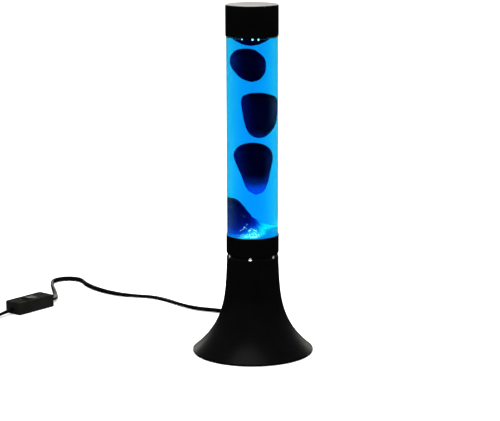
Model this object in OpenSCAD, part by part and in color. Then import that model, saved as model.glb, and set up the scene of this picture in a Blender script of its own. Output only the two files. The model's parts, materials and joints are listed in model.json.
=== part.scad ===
// Lava lamp: trumpet base, glass bottle with wax, press-on cap, flex with an inline rocker switch.
// Axis of the lamp on Z, feet on z = 0, +Y to the back, where the flex leaves the base.

/* [Overall] */
// Height from the table to the top of the cap
lamp_h = 400; // [390:1:440]
// Radius of the foot of the base
foot_r = 69.4; // [66:0.2:72]
// Outer radius of the collar and of the cap
collar_r = 30.1; // [30:0.1:30.4]
// Height of the top edge of the collar
collar_top = 138; // [132:1:146]

/* [Bottle] */
// Outer radius of the glass
glass_r = 29.2; // [29:0.1:29.2]
// Thickness of the glass
glass_wall = 2; // [1.6:0.1:2.4]
// Height of the liquid's surface above the table
liquid_top = 364.5; // [356:0.5:365]
// Height of the cap
cap_h = 35; // [33:1:36]

/* [Sheet metal] */
// Thickness of the spun base
base_wall = 0.8; // [0.6:0.1:1]
// Thickness of the collar and of the cap
collar_wall = 0.6; // [0.5:0.1:0.6]

/* [Vents] */
// Number of round vents in the groove
vent_count = 6; // [4:1:8]
// Radius of a vent
vent_r = 1.7; // [1.2:0.1:2]

/* [Switch] */
// Length of the switch's housing
switch_l = 60; // [56:1:64]
// Width of the switch's housing
switch_w = 27; // [25:1:28]
// Height of the switch's housing
switch_h = 15; // [15:0.5:16]
// Angle between the rocker's two end positions
rocker_swing = 14; // [10:1:14]

/* [Flex] */
// Width of the flat twin flex
flex_w = 6.2; // [5.8:0.1:6.2]
// Thickness of the flat twin flex
flex_t = 3.8; // [3.4:0.1:3.8]

/* [Hidden] */
$fn = 96;

// Base: the flare runs from the foot's edge to the neck under the groove
rim_low = 0.8;
rim_top = 2.6;
neck_r = collar_r - 0.3;
flare_top = 106.3;
flare_power = 3.48;
flare_share = 0.893;
flare_steps = 26;
groove_low = 112;
groove_mid = 114.3;
groove_high = 117.2;
groove_r = 28.5;
collar_in = collar_r - collar_wall;

// Base plate with a raised middle, which the lamp holder stands on
plate_low = 1.6;
plate_t = 1.2;
plate_r = foot_r - 3;
hat_top = 10;
hat_r = 16;
tube_r = 5;
tube_low = 4.5;
tube_high = 29;
nut_h = 3;
nut_r = 8;
fix_r = 59;
fix_angles = [30, 150, 270];
foot_ring = 50;

// Lamp holder and bulb
holder_low = 22;
holder_split = 33;
holder_high = 62;
holder_r = 12;
bulb_low = 41;
bulb_cap_top = 62;
bulb_high = 107;
bulb_r = 19.5;

// Bottle
bottle_low = 117.3;
bottle_floor = 3.2;
bottle_in = glass_r - glass_wall;
shoulder_z = lamp_h - 34;
bottle_neck_r = 13;
bottle_neck_top = lamp_h - 10;
liquid_low = bottle_low + bottle_floor;
wax_gap = 0.1;
coil_ring_r = 19;
coil_wire_r = 2.6;
coil_ring_z = liquid_low + coil_wire_r + 0.3;

// Cap
cap_low = lamp_h - cap_h;
crown_r = 16;
crown_top = lamp_h - 9;

// Where the flex leaves the base, and the strain relief there
exit_x = -12;
exit_z = 12;
relief_in = 47;
relief_out = 84;
relief_r = 4.6;
relief_hole_r = relief_r + 0.1;
clamp_y = 30;
clamp_screw_x = 8;

// Switch on the table: its middle, its heading and the height of its seam and of its flex
switch_at = [-280, 186];
switch_turn = 50;
seam_z = 5.5;
switch_wall = 1.6;
pivot_z = 11;
rocker_r = 10.2;
rocker_half_w = 5.9;
pin_r = 1.2;
screw_u = 24;
screw_v = 8.6;

// Coil of the flex's spare length
coil_at = [-364, 130];
coil_in_r = 18.2;
coil_out_r = 36.8;
coil_low = 0.8;
coil_high = 13.2;
tie_t = 0.8;
tie_w = 5;

// Plug
plug_x = -346;
plug_back = 57;
plug_front = 21;
plug_z = 6.9;
plug_half_w = 17.6;
plug_half_h = 6.8;
pin_pitch = 18.6;
plug_pin_r = 2;

// Routes of the flex, along its middle: x, y, z, and how far its wide side is turned up,
// from 0 where it lies flat to 90 where it stands on its narrow side
lamp_route = [
    [-12, 66, 12, 0], [-12, 84, 12, 0], [-12, 93, 10.8, 0], [-12, 103, 8.1, 0],
    [-12.5, 114, 5, 0], [-14, 125, 3.1, 5], [-17, 137, 2.4, 15], [-22, 148, 2.6, 28],
    [-29.5, 157.5, 2.8, 38], [-39.5, 164, 3.1, 46], [-51, 168.5, 3.2, 50], [-66, 175, 3.1, 46],
    [-79, 185.5, 2.8, 36], [-92, 200, 2.5, 20], [-105, 216, 2.2, 6], [-118, 229.5, 2.1, 2],
    [-131, 238, 2.3, 10], [-145, 242, 2.4, 14], [-158, 244.5, 2.7, 32], [-171, 249, 3, 44],
    [-184, 257, 3.3, 60], [-196, 267.5, 3.4, 75], [-206, 279.5, 3.4, 84], [-214.5, 292.5, 3.4, 88],
    [-221, 305.5, 3.3, 90], [-224.6, 315.6, 3.3, 90], [-229.4, 324.4, 3.3, 90],
    [-236.6, 329.8, 3.3, 90], [-245.2, 331.7, 3.3, 90], [-253.9, 329.8, 3.3, 90],
    [-260.9, 324, 3.3, 90], [-264.6, 316, 3.3, 90], [-265, 306.5, 3.3, 90],
    [-262, 287, 3.4, 84], [-257, 261, 3.3, 56], [-253.6, 241, 2.9, 28], [-252.5, 231.5, 3.5, 12],
    [-252.7, 223.8, 4.3, 4], [-254.7, 217.2, 5, 0], [-258.3, 211.8, 5.5, 0],
    [-262.6, 206.7, 5.5, 0]
];
plug_route = [
    [-297.4, 165.3, 5.5, 0], [-302, 159.8, 5.5, 0], [-307.6, 152.2, 4.7, 14],
    [-313, 144.2, 3.9, 32], [-318.5, 135.9, 3.6, 52], [-324, 127.4, 3.6, 70],
    [-329.5, 118.9, 3.8, 84], [-335.3, 109.9, 4, 90]
];
tail_route = [
    [-335.3, 109.9, 10, 90], [-339.3, 103.9, 9.7, 76], [-342.8, 97.5, 9, 54],
    [-345.1, 91, 8, 28], [-346, 85, 7.2, 8], [-346, 79, 6.9, 0]
];
inner_route = [
    [-12, 66, 12], [-12, 47, 12], [-12, 44.5, 11.4], [-12, 42, 9.9], [-12, 39.5, 7.5],
    [-12, 37, 5.8], [-12, 34.5, 4.9], [-12, 30, 4.8], [-12, 25.5, 4.8]
];
wire_route = [
    [-12, 25.5, 4.8], [-12.3, 22.5, 6.6], [-14, 18.5, 10.5], [-16.5, 12.5, 16],
    [-17.5, 6, 22], [-16, 2, 26], [-13, 0, 28], [-9.5, 0, 28.6], [-5, 0, 32.2]
];

// ---- Curves and outlines ----

// Radius of the flare's outside at height z, and its slope there
function flare_t(z) = max(0, (flare_top - z) / (flare_top - rim_top));
function flare_r(z) = neck_r + (foot_r - neck_r)
    * (flare_share * pow(flare_t(z), flare_power) + (1 - flare_share) * flare_t(z));
function flare_slope(z) = (foot_r - neck_r) / (flare_top - rim_top)
    * (flare_share * flare_power * pow(flare_t(z), flare_power - 1) + 1 - flare_share);
function flare_in(z) = flare_r(z) - base_wall * sqrt(1 + pow(flare_slope(z), 2));
function flare_z(i) = rim_top + (flare_top - rim_top) * i / flare_steps;

// Arc of a circle as points
function arc(cx, cz, r, from, to, steps = 8) =
    [for (i = [0:steps]) let (a = from + (to - from) * i / steps) [cx + r * cos(a), cz + r * sin(a)]];

// Half of an egg, to be turned about Z: a is its half width, c its half height, and
// skew moves the widest place up
function egg(a, c, skew = 0, steps = 28) = [
    for (i = [0:steps])
        let (t = -90 + 180 * i / steps)
        [max(0, a * cos(t) * (1 + skew * sin(t))), c * sin(t)]
];

// Flat oval section of the flex, eight-sided
function flex_section(w, t) = [
    [w / 2, t / 4], [w / 4, t / 2], [-w / 4, t / 2], [-w / 2, t / 4],
    [-w / 2, -t / 4], [-w / 4, -t / 2], [w / 4, -t / 2], [w / 2, -t / 4]
];
function unit(v) = v / norm(v);
function spot(p) = [p[0], p[1], p[2]];
function turned(p, a) = [p[0] * cos(a) - p[1] * sin(a), p[0] * sin(a) + p[1] * cos(a)];
function heading(path, i) =
    unit(spot(path[min(i + 1, len(path) - 1)]) - spot(path[max(i - 1, 0)]));
function ring(path, i, section) =
    let (
        along = heading(path, i),
        side = unit(cross([0, 0, 1], along)),
        up = cross(along, side),
        stand = len(path[i]) > 3 ? path[i][3] : 0
    )
    [for (p = section) let (q = turned(p, stand)) spot(path[i]) + side * q[0] + up * q[1]];

// A section swept along a path
module swept(path, section) {
    n = len(section);
    last = len(path) - 1;
    polyhedron(
        points = [for (i = [0:last]) each ring(path, i, section)],
        faces = [
            [for (k = [0:n - 1]) k],
            for (i = [0:last - 1], k = [0:n - 1])
                let (here = i * n + k, next = i * n + (k + 1) % n)
                each [[here, here + n, next + n], [here, next + n, next]],
            [for (k = [n - 1:-1:0]) last * n + k]
        ],
        convexity = 10
    );
}

module flex(path) {
    swept(path, flex_section(flex_w, flex_t));
}

module ring_solid(r_out, r_in, low, high) {
    difference() {
        translate([0, 0, low]) cylinder(h = high - low, r = r_out);
        translate([0, 0, low - 1]) cylinder(h = high - low + 2, r = r_in);
    }
}

// ---- Base ----

module base_outline() {
    polygon(concat(
        [[foot_r, rim_low], [foot_r, rim_top]],
        [for (i = [1:flare_steps]) [flare_r(flare_z(i)), flare_z(i)]],
        [
            [neck_r + 0.1, groove_low - 0.4], [neck_r - 0.2, groove_low],
            [groove_r, groove_mid], [neck_r, groove_high], [collar_r, groove_high + 0.6],
            [collar_r, collar_top - 1], [collar_r + 0.2, collar_top - 0.7],
            [collar_r + 0.2, collar_top - 0.2], [collar_r, collar_top],
            [collar_in, collar_top], [collar_in, groove_high + 0.6],
            [groove_r - collar_wall, groove_mid], [neck_r - base_wall, groove_low]
        ],
        [for (i = [flare_steps:-1:1]) [flare_in(flare_z(i)), flare_z(i)]],
        [[foot_r - base_wall, rim_top - 0.6], [foot_r - base_wall, rim_low]]
    ));
}

// The space inside the flare, which pieces welded to its wall are trimmed to
module flare_inside() {
    rotate_extrude()
        polygon(concat(
            [[0, rim_low], [foot_r - base_wall, rim_low], [foot_r - base_wall, rim_top - 0.6]],
            [for (i = [1:flare_steps]) [flare_in(flare_z(i)), flare_z(i)]],
            [[0, flare_top]]
        ));
}

module base_shell() {
    color("#151515")
    difference() {
        rotate_extrude($fn = 160) base_outline();
        for (i = [0:vent_count - 1])
            rotate([0, 0, -95.7 + i * 360 / vent_count])
                translate([groove_r - 4, 0, groove_mid])
                    rotate([0, 90, 0]) cylinder(h = 8, r = vent_r, $fn = 32);
        translate([exit_x, relief_in, exit_z])
            rotate([-90, 0, 0]) cylinder(h = 30, r = relief_hole_r, $fn = 48);
    }
}

module base_plate() {
    color("#8a8d90")
    difference() {
        rotate_extrude()
            polygon([
                [hat_r + 8, plate_low], [plate_r, plate_low], [plate_r, plate_low + plate_t],
                [hat_r + 8.5, plate_low + plate_t], [hat_r + 0.5, hat_top],
                [tube_r + 0.1, hat_top], [tube_r + 0.1, hat_top - plate_t],
                [hat_r, hat_top - plate_t]
            ]);
        for (a = fix_angles)
            rotate([0, 0, a])
                translate([fix_r, 0, plate_low - 1]) cylinder(h = 4, r = 1.7, $fn = 32);
        for (i = [0:7])
            rotate([0, 0, i * 45])
                translate([38, 0, plate_low - 1]) cylinder(h = 4, r = 3, $fn = 32);
        for (side = [-1, 1])
            translate([exit_x + side * clamp_screw_x, clamp_y, plate_low - 1])
                cylinder(h = 4, r = 1.6, $fn = 32);
    }
}

module plate_brackets() {
    color("#8a8d90")
    intersection() {
        flare_inside();
        for (a = fix_angles)
            rotate([0, 0, a])
                difference() {
                    union() {
                        translate([fix_r - 6, -6, plate_low + plate_t]) cube([16, 12, 1.2]);
                        translate([fix_r - 6, -6, plate_low + plate_t]) cube([1.2, 12, 8]);
                    }
                    translate([fix_r, 0, plate_low]) cylinder(h = 5, r = 1.55, $fn = 32);
                }
    }
}

module screw(r, length, head_r, head_h) {
    rotate_extrude($fn = 32)
        polygon([
            [0, 0], [head_r - 0.4, 0], [head_r, 0.4], [head_r, head_h], [r, head_h],
            [r, head_h + length - 0.6], [r * 0.4, head_h + length], [0, head_h + length]
        ]);
}

module slotted_screw(r, length, head_r, head_h) {
    difference() {
        screw(r, length, head_r, head_h);
        translate([-head_r - 1, -0.4, -0.1]) cube([2 * head_r + 2, 0.8, 0.6]);
        translate([-0.4, -head_r * 0.6, -0.1]) cube([0.8, head_r * 1.2, 0.6]);
    }
}

module plate_screws() {
    color("silver")
    for (a = fix_angles)
        rotate([0, 0, a])
            translate([fix_r, 0, plate_low - 1.1]) slotted_screw(1.5, 6, 3, 1.1);
}

module rubber_feet() {
    color("#202020")
    for (a = [45:90:315])
        rotate([0, 0, a])
            translate([foot_ring, 0, 0])
                rotate_extrude($fn = 48)
                    polygon([[0, 0], [4.2, 0], [5, 0.5], [5.4, plate_low], [0, plate_low]]);
}

module bottle_seat() {
    color("silver")
    rotate_extrude()
        polygon([
            [22, groove_mid - 1.8], [23, groove_mid - 1.8], [23, groove_mid - 0.6],
            [groove_r - collar_wall - 0.1, groove_mid - 0.6],
            [groove_r - collar_wall - 0.1, groove_mid + 0.6], [22, groove_mid + 0.6]
        ]);
}

module seat_gasket() {
    color("#b8b2a0")
    ring_solid(27.6, 22.6, groove_mid + 0.6, bottle_low - 0.3);
}

module threaded_tube() {
    color("silver")
    rotate_extrude()
        polygon(concat(
            [[3.6, tube_low], [3.6, tube_high]],
            [for (z = [tube_high:-1:tube_low + 1]) each [[4.6, z], [tube_r, z - 0.5]]],
            [[4.6, tube_low]]
        ));
}

module nut(low) {
    difference() {
        translate([0, 0, low]) cylinder(h = nut_h, r = nut_r, $fn = 6);
        translate([0, 0, low - 1]) cylinder(h = nut_h + 2, r = tube_r + 0.05, $fn = 48);
    }
}

module tube_nuts() {
    color("silver")
    for (low = [hat_top - plate_t - nut_h, hat_top, holder_low - nut_h])
        nut(low);
}

module holder_cap() {
    color("#1c1c1c")
    difference() {
        rotate_extrude()
            polygon(concat(
                [[tube_r + 0.05, holder_low], [holder_r - 4, holder_low]],
                arc(holder_r - 4, holder_low + 4, 4, -90, 0),
                [
                    [holder_r, holder_split], [holder_r - 1.8, holder_split],
                    [holder_r - 1.8, holder_low + 5], [tube_r + 3, holder_low + 3],
                    [tube_r + 0.05, holder_low + 3]
                ]
            ));
        for (side = [-1, 1])
            translate([-holder_r - 2, side * 2.2, 28.2])
                rotate([0, 90, 0]) cylinder(h = 6, r = 1.6, $fn = 32);
    }
}

module holder_body() {
    color("#1c1c1c")
    rotate_extrude()
        polygon([
            [2.6, 38], [holder_r - 2, 38], [holder_r - 2, holder_split],
            [holder_r + 0.8, holder_split], [holder_r + 0.8, holder_split + 6],
            [holder_r, holder_split + 7], [holder_r - 0.8, holder_high],
            [8.6, holder_high], [8.6, 40], [2.6, 40]
        ]);
}

module holder_shell() {
    color("goldenrod")
    rotate_extrude()
        polygon([
            [4.2, 40], [8.4, 40], [8.4, 57], [8.5, 58], [8, 58], [7.7, 57], [7.7, 41], [4.2, 41]
        ]);
}

module holder_contact() {
    color("goldenrod")
    union() {
        translate([0, 0, 36.2]) cylinder(h = 3.6, r = 1.4, $fn = 32);
        translate([0, 0, 39.8]) cylinder(h = 0.8, r = 2.4, $fn = 32);
        translate([-1.4, -1.4, 36.2]) cube([8, 2.8, 0.8]);
    }
}

module holder_terminals() {
    color("goldenrod")
    for (side = [-1, 1])
        translate([-5, side * 2.2, 0]) {
            translate([0, 0, 33.4]) cylinder(h = 4.4, r = 1.9, $fn = 32);
            translate([0, 0, 32.2]) cylinder(h = 1.2, r = 1.3, $fn = 32);
        }
}

// ---- Bulb ----

module bulb_cap() {
    color("goldenrod")
    rotate_extrude()
        polygon(concat(
            [[5.4, 46], [6, 46]],
            [for (i = [0:4]) each [[6.1, 46.8 + i * 2.8], [6.9, 48.2 + i * 2.8]]],
            [[6.3, 60], [6.8, bulb_cap_top], [6.4, bulb_cap_top], [5.9, 60], [5.4, 59]]
        ));
}

module bulb_insulator() {
    color("#101018")
    rotate_extrude()
        polygon([[0, 42.2], [2.6, 42.2], [5.6, 45], [5.4, 46], [0, 46]]);
}

module bulb_tip() {
    color("silver")
    rotate_extrude()
        polygon(concat([[0, bulb_low]], arc(0, 43, 2, -80, -24, 6), [[0, 42.2]]));
}

// Reflector bulb: a narrow neck that opens to a wide crowned front
function bulb_wall(inset) = concat(
    [[5.2 - inset, 58], [5.6 - inset, 60], [6.2 - inset, 62.5], [8.2 - inset, 72], [12.5 - inset, 80]],
    [[16.8 - inset, 88], [bulb_r - 0.7 - inset, 94]],
    arc(bulb_r - 6, 98, 6 - inset, -8, 60, 8),
    [[11, 105.2 - inset], [6, 106.6 - inset], [0, bulb_high - inset]]
);

module bulb_glass() {
    color("#f4f0e6", 0.8)
    rotate_extrude()
        polygon(concat(
            bulb_wall(0),
            [for (i = [len(bulb_wall(0)) - 1:-1:0]) bulb_wall(0.8)[i]]
        ));
}

module bulb_stem() {
    color("#e0e8e8", 0.7)
    rotate_extrude()
        polygon([[0, 58], [4.2, 58], [4.4, 60], [2.4, 66], [2, 76], [2.6, 80], [0, 80.6]]);
}

module wire(points, r) {
    swept(points, [for (i = [0:7]) [r * cos(i * 45), r * sin(i * 45)]]);
}

module bulb_filament() {
    color("#808080")
    union() {
        for (side = [-1, 1])
            translate([side * 1.2, 0, 80]) rotate([0, side * 28, 0]) cylinder(h = 12, r = 0.3, $fn = 16);
        translate([0, 0, 90.4]) rotate([0, 90, 0]) cylinder(h = 13.6, r = 0.6, center = true, $fn = 24);
    }
}

// ---- Flex inside the base ----

module cord_strain_relief() {
    color("#121212")
    difference() {
        translate([exit_x, relief_in, exit_z])
            rotate([-90, 0, 0])
                rotate_extrude($fn = 48)
                    polygon([
                        [0, 0], [6, 0], [6, 2.4], [relief_r, 2.4], [relief_r, 17],
                        [5.8, 17.4], [5.8, 19], [5, 20],
                        [4.1, relief_out - relief_in], [0, relief_out - relief_in]
                    ]);
        translate([exit_x - flex_w / 2, relief_in - 1, exit_z - flex_t / 2])
            cube([flex_w, relief_out - relief_in + 2, flex_t]);
    }
}

module cord_clamp() {
    color("#26262a")
    translate([exit_x, clamp_y, plate_low + plate_t])
        difference() {
            union() {
                translate([-11, -4, 0]) cube([22, 8, 1.6]);
                translate([-4.9, -4, 0]) cube([9.8, 8, 5.4]);
            }
            translate([-flex_w / 2 - 0.1, -5, -1]) cube([flex_w + 0.2, 10, flex_t + 1.2]);
            for (side = [-1, 1])
                translate([side * clamp_screw_x, 0, -1]) cylinder(h = 4, r = 1.6, $fn = 32);
        }
}

module clamp_screws() {
    color("silver")
    for (side = [-1, 1])
        translate([exit_x + side * clamp_screw_x, clamp_y, plate_low + plate_t + 2.8])
            rotate([180, 0, 0]) screw(1.5, 2.9, 2.6, 1.2);
}

module flex_inner() {
    color("#101010")
    flex(inner_route);
}

// The two wires lie side by side, and spread towards the holder's terminals
module lead_wires() {
    color("#3a5f9e")
    for (side = [-1, 1])
        wire([
            for (i = [0:len(wire_route) - 1])
                wire_route[i] + side * (1.25 + 0.12 * i) * unit(cross([0, 0, 1], heading(wire_route, i)))
        ], 1);
}

// ---- Bottle, liquid and wax ----

function bottle_wall(r, low, edge, top, neck) = concat(
    [[0, low]],
    arc(r - edge, low + edge, edge, -90, 0),
    arc(r - 9, shoulder_z, 9, 0, 70, 10),
    [[neck + 1.2, shoulder_z + 12], [neck, shoulder_z + 15], [neck, top]]
);

module glass_bottle() {
    color("#cfeaf2", 0.35)
    difference() {
        rotate_extrude($fn = 160)
            polygon(concat(bottle_wall(glass_r, bottle_low, 3, bottle_neck_top, bottle_neck_r),
                [[0, bottle_neck_top]]));
        rotate_extrude($fn = 160)
            polygon(concat(bottle_wall(bottle_in, liquid_low, 2, bottle_neck_top + 1, 8.5),
                [[0, bottle_neck_top + 1]]));
    }
}

module liquid_column(top) {
    rotate_extrude($fn = 160)
        polygon(concat([[0, liquid_low]], arc(bottle_in - 2, liquid_low + 2, 2, -90, 0),
            [[bottle_in, top], [0, top]]));
}

// One drop of wax: middle, half width, half height, lean and skew, grown by a gap
module wax_drop(at, a, c, lean, skew, grow = 0) {
    translate(at)
        rotate([0, lean, 0])
            rotate_extrude($fn = 64) polygon(egg(a + grow, c + grow, skew));
}

module upper_drop(grow = 0) { wax_drop([-3.3, 0, 332.3], 15.2, 19.2, -14, 0.1, grow); }
module middle_drop(grow = 0) { wax_drop([6.5, 0, 275.6], 15.3, 25.4, 3, 0.1, grow); }
module lower_drop(grow = 0) { wax_drop([1, 0, 214.4], 16.4, 29.7, 3, 0.26, grow); }

// The lens of wax that floats at the surface
module top_dome(grow = 0) {
    translate([-0.8, 0, liquid_top])
        rotate_extrude($fn = 64)
            polygon(concat(
                [for (i = [0:12]) [(18.5 + grow) * i / 12, -(10 + grow) * (1 - pow(i / 12, 2))]],
                [[0, 0]]
            ));
}

// The mound on the bottle's floor, high at the left wall
module mound(grow = 0) {
    intersection() {
        liquid_column(190);
        translate([0, 40, grow])
            rotate([90, 0, 0])
                linear_extrude(height = 80)
                    polygon([
                        [-30, 110], [30, 110], [30, 142], [18, 143], [10.2, 146.2], [3.7, 151.5],
                        [-2.8, 161.8], [-7.1, 170.4], [-14, 178], [-20, 180.3], [-30, 181]
                    ]);
    }
}

module coil_ring(grow = 0) {
    translate([0, 0, coil_ring_z])
        rotate_extrude() translate([coil_ring_r, 0]) circle(r = coil_wire_r + grow, $fn = 32);
}

module liquid() {
    color("#12a8ef", 0.5)
    difference() {
        liquid_column(liquid_top);
        upper_drop(wax_gap);
        middle_drop(wax_gap);
        lower_drop(wax_gap);
        top_dome(wax_gap);
        mound(wax_gap);
        coil_ring(wax_gap);
    }
}

module wax_top_dome() { color("#0a0f3c") top_dome(); }
module wax_upper() { color("#0a0f3c") upper_drop(); }
module wax_middle() { color("#0a0f3c") middle_drop(); }
module wax_lower() { color("#0a0f3c") lower_drop(); }

module wax_mound() {
    color("#0a1a78")
    difference() {
        mound();
        coil_ring(wax_gap);
    }
}

module heat_coil() { color("silver") coil_ring(); }

module neck_closure() {
    color("#a8882c")
    rotate_extrude()
        polygon([
            [0, crown_top], [12.6, crown_top], [14.4, crown_top - 0.8], [crown_r, crown_top - 6],
            [crown_r - 0.5, crown_top - 6], [13.3, crown_top - 1.2], [12.4, crown_top - 0.4],
            [0, crown_top - 0.4]
        ]);
}

module neck_seal() {
    color("#d8d8d0")
    ring_solid(12.3, 0.1, bottle_neck_top, crown_top - 0.4);
}

// ---- Cap ----

module cap_shell() {
    color("#151515")
    rotate_extrude($fn = 160)
        polygon(concat(
            [[collar_in, cap_low], [collar_r, cap_low]],
            arc(collar_r - 1.4, lamp_h - 1.4, 1.4, 0, 90, 6),
            [[0, lamp_h], [0, lamp_h - collar_wall]],
            arc(collar_r - 1.4, lamp_h - 1.4, 1.4 - collar_wall, 90, 0, 6)
        ));
}

module cap_spacer() {
    color("#d9d9d2")
    rotate_extrude()
        polygon([
            [0, crown_top + 0.3], [crown_r + 0.5, crown_top + 0.3], [crown_r + 0.5, crown_top - 6],
            [crown_r + 1.9, crown_top - 6], [crown_r + 1.9, lamp_h - 3], [collar_in - 0.6, lamp_h - 3],
            [collar_in - 0.6, lamp_h - collar_wall - 0.7],
            [collar_in - 1.3, lamp_h - collar_wall], [0, lamp_h - collar_wall]
        ]);
}

// ---- Flex and switch ----

module flex_lamp_side() { color("#0c0c0c") flex(lamp_route); }
module flex_plug_side() { color("#0c0c0c") flex(plug_route); }
module flex_plug_tail() { color("#0c0c0c") flex(tail_route); }

module at_switch() {
    translate([switch_at[0], switch_at[1], 0]) rotate([0, 0, switch_turn]) children();
}

module switch_outline(inset) {
    corner = 3.2;
    hull()
        for (u = [-1, 1], v = [-1, 1])
            translate([u * (switch_l / 2 - corner), v * (switch_w / 2 - corner)])
                circle(r = corner - inset, $fn = 32);
}

module switch_screw_places() {
    for (side = [-1, 1])
        translate([side * screw_u, side * screw_v, 0]) children();
}

module flex_slots() {
    for (side = [-1, 1])
        translate([side * switch_l / 2, 0, seam_z])
            cube([12, flex_w + 0.2, flex_t + 0.2], center = true);
}

module switch_lower_housing() {
    color("#1b1b1b")
    at_switch()
        difference() {
            union() {
                difference() {
                    union() {
                        linear_extrude(height = 0.8) switch_outline(0.8);
                        translate([0, 0, 0.8]) linear_extrude(height = seam_z - 0.8) switch_outline(0);
                    }
                    translate([0, 0, switch_wall])
                        linear_extrude(height = seam_z)
                            switch_outline(switch_wall);
                }
                switch_screw_places() cylinder(h = seam_z, r = 2.7, $fn = 32);
            }
            flex_slots();
            switch_screw_places() {
                translate([0, 0, -1]) cylinder(h = seam_z + 2, r = 1.3, $fn = 32);
                translate([0, 0, -1]) cylinder(h = 3, r = 2.1, $fn = 32);
            }
        }
}

module switch_upper_housing() {
    color("#1b1b1b")
    at_switch()
        difference() {
            union() {
                difference() {
                    union() {
                        translate([0, 0, seam_z])
                            linear_extrude(height = switch_h - 0.8 - seam_z) switch_outline(0);
                        translate([0, 0, switch_h - 0.8]) linear_extrude(height = 0.8) switch_outline(0.8);
                    }
                    translate([0, 0, seam_z - 1])
                        linear_extrude(height = switch_h - switch_wall - seam_z + 1)
                            switch_outline(switch_wall);
                }
                for (side = [-1, 1])
                    translate([-4, side > 0 ? rocker_half_w + 0.4 : -rocker_half_w - 2.2, pivot_z - 2.6])
                        cube([8, 1.8, switch_h - 1 - pivot_z + 2.6]);
                switch_screw_places()
                    translate([0, 0, seam_z]) cylinder(h = switch_h - 1 - seam_z, r = 2.7, $fn = 32);
            }
            flex_slots();
            translate([-rocker_r, -rocker_half_w - 0.4, switch_h - switch_wall - 1])
                cube([2 * rocker_r, 2 * rocker_half_w + 0.8, switch_wall + 2]);
            translate([0, 0, pivot_z])
                rotate([90, 0, 0]) cylinder(h = 18, r = pin_r + 0.05, center = true, $fn = 48);
            switch_screw_places() translate([0, 0, seam_z - 1]) cylinder(h = 7, r = 1.05, $fn = 32);
        }
}

// Seesaw key: round about its pivot, with a shallow V on top, resting with one end down
module switch_rocker() {
    color("#232323")
    at_switch()
        translate([0, 0, pivot_z])
            rotate([0, rocker_swing / 2, 0])
                union() {
                    rotate([90, 0, 0])
                        linear_extrude(height = 2 * rocker_half_w, center = true)
                            intersection() {
                                circle(r = rocker_r - 0.4, $fn = 96);
                                polygon([
                                    [-12, -1.4], [12, -1.4], [12, 5.6], [rocker_r, 5.4], [0, 4.1],
                                    [-rocker_r, 5.4], [-12, 5.6]
                                ]);
                            }
                    rotate([90, 0, 0])
                        cylinder(h = 2 * rocker_half_w + 3.4, r = pin_r, center = true, $fn = 48);
                }
}

module switch_screws() {
    color("silver")
    at_switch()
        switch_screw_places() translate([0, 0, 0.6]) slotted_screw(1, 8.6, 1.9, 1.3);
}

module switch_terminals() {
    color("goldenrod")
    at_switch()
        for (side = [-1, 1], v = [-1, 1])
            translate([side * 18, v * 3.4, switch_wall])
                difference() {
                    translate([-3, -1.8, 0]) cube([6, 3.6, 5.4]);
                    translate([0, 0, 3.6]) cylinder(h = 3, r = 1, $fn = 32);
                }
}

module switch_contacts() {
    color("goldenrod")
    at_switch()
        union() {
            translate([-15, 3, switch_wall]) cube([12, 3, 0.6]);
            translate([-1.5, 3, switch_wall]) cube([3, 3, 3.6]);
            translate([3, 3, switch_wall]) cube([12, 3, 0.6]);
            translate([-15, -6, switch_wall]) cube([30, 3, 0.6]);
        }
}

// ---- Coil of spare flex ----

module flex_coil() {
    color("#0c0c0c")
    translate([coil_at[0], coil_at[1], 0])
        rotate_extrude($fn = 96)
            polygon(concat(
                arc(coil_in_r + 2, coil_low + 2, 2, 180, 270, 4),
                arc(coil_out_r - 2, coil_low + 2, 2, 270, 360, 4),
                arc(coil_out_r - 2, coil_high - 2, 2, 0, 90, 4),
                arc(coil_in_r + 2, coil_high - 2, 2, 90, 180, 4)
            ));
}

module coil_ties() {
    tie_in = coil_in_r - 0.2;
    tie_span = coil_out_r - tie_in;
    color("#1a1a1a")
    translate([coil_at[0], coil_at[1], 0])
        for (a = [100, 220])
            rotate([0, 0, a])
                difference() {
                    translate([tie_in - tie_t, -tie_w / 2, coil_low - tie_t])
                        cube([tie_span + 2 * tie_t, tie_w, coil_high - coil_low + 2 * tie_t]);
                    translate([tie_in, -tie_w, coil_low])
                        cube([tie_span, 2 * tie_w, coil_high - coil_low]);
                }
}

// ---- Plug ----

module at_plug() {
    translate([plug_x, 0, plug_z]) children();
}

module plug_body() {
    color("#0f0f0f")
    at_plug()
        difference() {
            union() {
                hull() {
                    for (side = [-1, 1])
                        translate([side * (plug_half_w - plug_half_h), plug_front, 0])
                            rotate([-90, 0, 0]) cylinder(h = 10, r = plug_half_h, $fn = 32);
                    translate([0, plug_back - 8, 0])
                        rotate([-90, 0, 0]) cylinder(h = 8, r = 5, $fn = 32);
                }
                translate([0, plug_back - 2, 0])
                    rotate([-90, 0, 0])
                        rotate_extrude($fn = 48)
                            polygon([[0, 0], [4.2, 0], [3.4, 24], [0, 24]]);
            }
            for (side = [-1, 1])
                translate([side * pin_pitch / 2, plug_front - 1, 0])
                    rotate([-90, 0, 0]) cylinder(h = 9, r = plug_pin_r - 0.5, $fn = 32);
        }
}

module plug_pins() {
    color("silver")
    at_plug()
        for (side = [-1, 1])
            translate([side * pin_pitch / 2, plug_front + 8, 0])
                rotate([90, 0, 0])
                    rotate_extrude($fn = 48)
                        polygon([
                            [0, 0], [plug_pin_r - 0.55, 0], [plug_pin_r - 0.55, 18], [plug_pin_r, 18],
                            [plug_pin_r, 26], [plug_pin_r - 0.8, 27], [0, 27]
                        ]);
}

module plug_pin_sleeves() {
    color("#0f0f0f")
    at_plug()
        for (side = [-1, 1])
            translate([side * pin_pitch / 2, plug_front, 0])
                rotate([90, 0, 0])
                    difference() {
                        cylinder(h = 10, r = plug_pin_r, $fn = 48);
                        translate([0, 0, -1]) cylinder(h = 12, r = plug_pin_r - 0.5, $fn = 48);
                    }
}

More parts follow.
